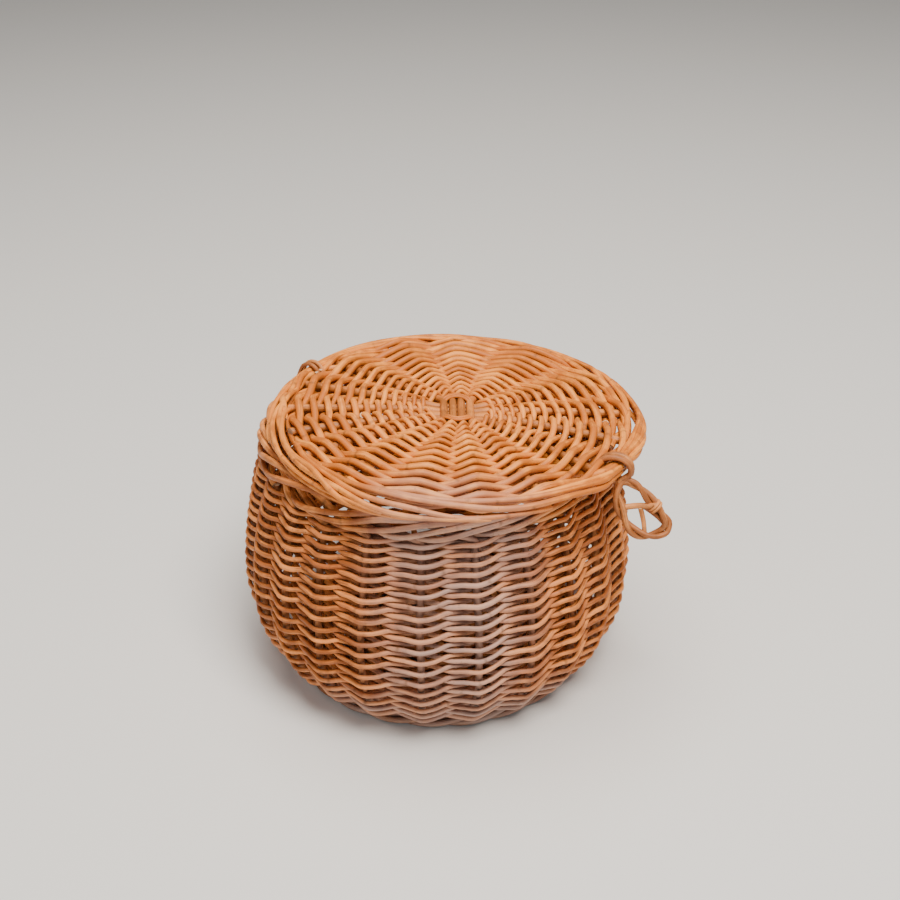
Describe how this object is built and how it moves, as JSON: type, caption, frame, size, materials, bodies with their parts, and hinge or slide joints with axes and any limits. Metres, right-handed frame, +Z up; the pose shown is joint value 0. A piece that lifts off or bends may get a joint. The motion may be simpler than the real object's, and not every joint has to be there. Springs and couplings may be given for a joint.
{
  "type": "lidded wicker basket",
  "caption": "Round bellied willow basket with a flat woven lid that hinges on loops at the back and a looped clasp at the front.",
  "frame": {"origin": "centre of the round foot, on the plane that the basket stands on", "axes": "+Z up along the basket's axis; the clasp is at the right of the front (-Y is the front, +X is right) and the lid's hinge is opposite it at the left of the back"},
  "size_m": [0.3077, 0.3, 0.214],
  "materials": {
    "stake_willow": "smooth buff willow, satin",
    "siding_willow": "smooth buff willow, satin with a cool bloom where it is worn",
    "body_border_willow": "smooth buff willow, satin",
    "base_stick_willow": "smooth buff willow, matt",
    "base_willow": "smooth buff willow, matt",
    "lid_stick_willow": "smooth buff willow, satin",
    "lid_willow": "smooth buff willow, satin",
    "lid_border_willow": "smooth buff willow, satin",
    "tie_willow": "thin twisted willow, satin"
  },
  "bodies": {
    "basket": {"base_binding": "base_willow", "base_sticks_crosswise": "base_stick_willow", "base_sticks_lengthwise": "base_stick_willow", "base_weave": "base_willow", "body_border": "body_border_willow", "foot_wale": "base_willow", "hinge_loop_left": "tie_willow", "hinge_loop_right": "tie_willow", "siding_row_01": "siding_willow", "siding_row_02": "siding_willow", "siding_row_03": "siding_willow", "siding_row_04": "siding_willow", "siding_row_05": "siding_willow", "siding_row_06": "siding_willow", "siding_row_07": "siding_willow", "siding_row_08": "siding_willow", "siding_row_09": "siding_willow", "siding_row_10": "siding_willow", "siding_row_11": "siding_willow", "siding_row_12": "siding_willow", "siding_row_13": "siding_willow", "siding_row_14": "siding_willow", "siding_row_15": "siding_willow", "siding_row_16": "siding_willow", "siding_row_17": "siding_willow", "siding_row_18": "siding_willow", "siding_row_19": "siding_willow", "stake_01": "stake_willow", "stake_02": "stake_willow", "stake_03": "stake_willow", "stake_04": "stake_willow", "stake_05": "stake_willow", "stake_06": "stake_willow", "stake_07": "stake_willow", "stake_08": "stake_willow", "stake_09": "stake_willow", "stake_10": "stake_willow", "stake_11": "stake_willow", "stake_12": "stake_willow", "stake_13": "stake_willow", "stake_14": "stake_willow", "stake_15": "stake_willow", "stake_16": "stake_willow", "stake_17": "stake_willow", "stake_18": "stake_willow", "stake_19": "stake_willow", "stake_20": "stake_willow", "stake_21": "stake_willow", "stake_22": "stake_willow", "stake_23": "stake_willow", "stake_24": "stake_willow"},
    "lid": {"lid_sticks_fore_and_aft": "lid_stick_willow", "lid_sticks_across": "lid_stick_willow", "lid_binding": "lid_willow", "lid_weave_inner": "lid_willow", "lid_weave_outer": "lid_willow", "lid_border": "lid_border_willow"},
    "clasp": {"clasp_loop": "tie_willow"}
  },
  "joints": [
    {"name": "lid_hinge", "type": "hinge", "parent": "basket", "child": "lid", "pos_m": [-0.09701, 0.05945, 0.20395], "axis": [-0.5063, -0.8613, 0.0432], "range_deg": [0, 110]},
    {"name": "clasp_swing", "type": "hinge", "parent": "lid", "child": "clasp", "pos_m": [0.12403, -0.07727, 0.20029], "axis": [-0.5446, -0.8387, 0], "range_deg": [-25, 90]}
  ]
}
